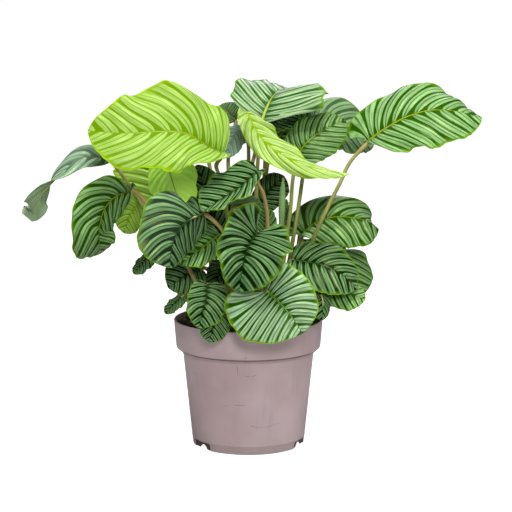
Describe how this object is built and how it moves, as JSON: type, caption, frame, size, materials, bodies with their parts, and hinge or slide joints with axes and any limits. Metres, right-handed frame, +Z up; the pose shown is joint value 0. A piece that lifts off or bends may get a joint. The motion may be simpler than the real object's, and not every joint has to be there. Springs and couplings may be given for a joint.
{
  "type": "potted calathea",
  "caption": "Leafy houseplant with round, striped leaves on slender stalks, standing in a filled round plastic nursery pot.",
  "frame": {"origin": "on the floor under the middle of the object's box, which is also the pot's axis within a few millimetres", "axes": "+Z up; -Y towards the front of the plant; +X to the right, along the widest spread of the leaves"},
  "size_m": [0.732, 0.3362, 0.5852],
  "materials": {
    "pot_plastic": "satin taupe moulded plastic, lightly scuffed",
    "soil": "dark crumbly potting soil with bark chips",
    "leaf_lime": "young lime leaf with pale bands, glossy above and matte below",
    "leaf_bright": "silvery green leaf with broad pale bands, satin",
    "leaf_mid": "mid green leaf with pale sage stripes, satin",
    "leaf_dark": "deep green leaf with pale sage stripes, satin",
    "new_leaf": "rolled new leaf, pale green, satin"
  },
  "bodies": {
    "root": {"pot": "pot_plastic", "soil": "soil", "leaf_upper_left_lime": "leaf_lime", "leaf_far_left_twisted": "leaf_bright", "leaf_left_green": "leaf_mid", "leaf_left_lime_behind": "leaf_lime", "leaf_left_lime_underside": "leaf_lime", "leaf_small_lime": "leaf_lime", "leaf_left_dark_round": "leaf_dark", "leaf_centre_left_glossy": "leaf_mid", "leaf_centre_left_dark": "leaf_dark", "leaf_centre_dark": "leaf_dark", "leaf_rim_bright": "leaf_bright", "leaf_right_dark": "leaf_dark", "leaf_right_behind": "leaf_mid", "leaf_right_low_lime": "leaf_mid", "leaf_right_olive": "leaf_mid", "leaf_upper_right": "leaf_mid", "leaf_upper_right_behind": "leaf_mid", "leaf_upper_centre_folded": "leaf_mid", "leaf_top_centre": "leaf_mid", "leaf_centre_lime_curled": "leaf_lime", "leaf_behind_top_left": "leaf_dark", "leaf_drooping_grey": "leaf_dark", "leaf_dark_between": "leaf_dark", "leaf_small_lower_left": "leaf_dark", "leaf_rim_left_small": "leaf_dark", "leaf_low_left_dark": "leaf_dark", "leaf_low_left_droop": "leaf_dark", "leaf_left_tip": "leaf_dark", "leaf_right_low_dark": "leaf_dark", "leaf_centre_back_dark": "leaf_dark", "leaf_left_back_dark": "leaf_dark", "leaf_centre_underside": "leaf_dark", "leaf_centre_strip": "leaf_mid", "leaf_right_strip": "leaf_mid", "leaf_inner_right_dark": "leaf_dark", "leaf_inner_low_brown": "leaf_dark", "leaf_inner_low_left": "leaf_dark", "leaf_back_left": "leaf_mid", "leaf_back_centre": "leaf_mid", "leaf_back_low_left": "leaf_dark", "leaf_back_low_right": "leaf_dark", "leaf_back_low_centre": "leaf_dark", "new_leaf_spear": "new_leaf"}
  },
  "joints": []
}
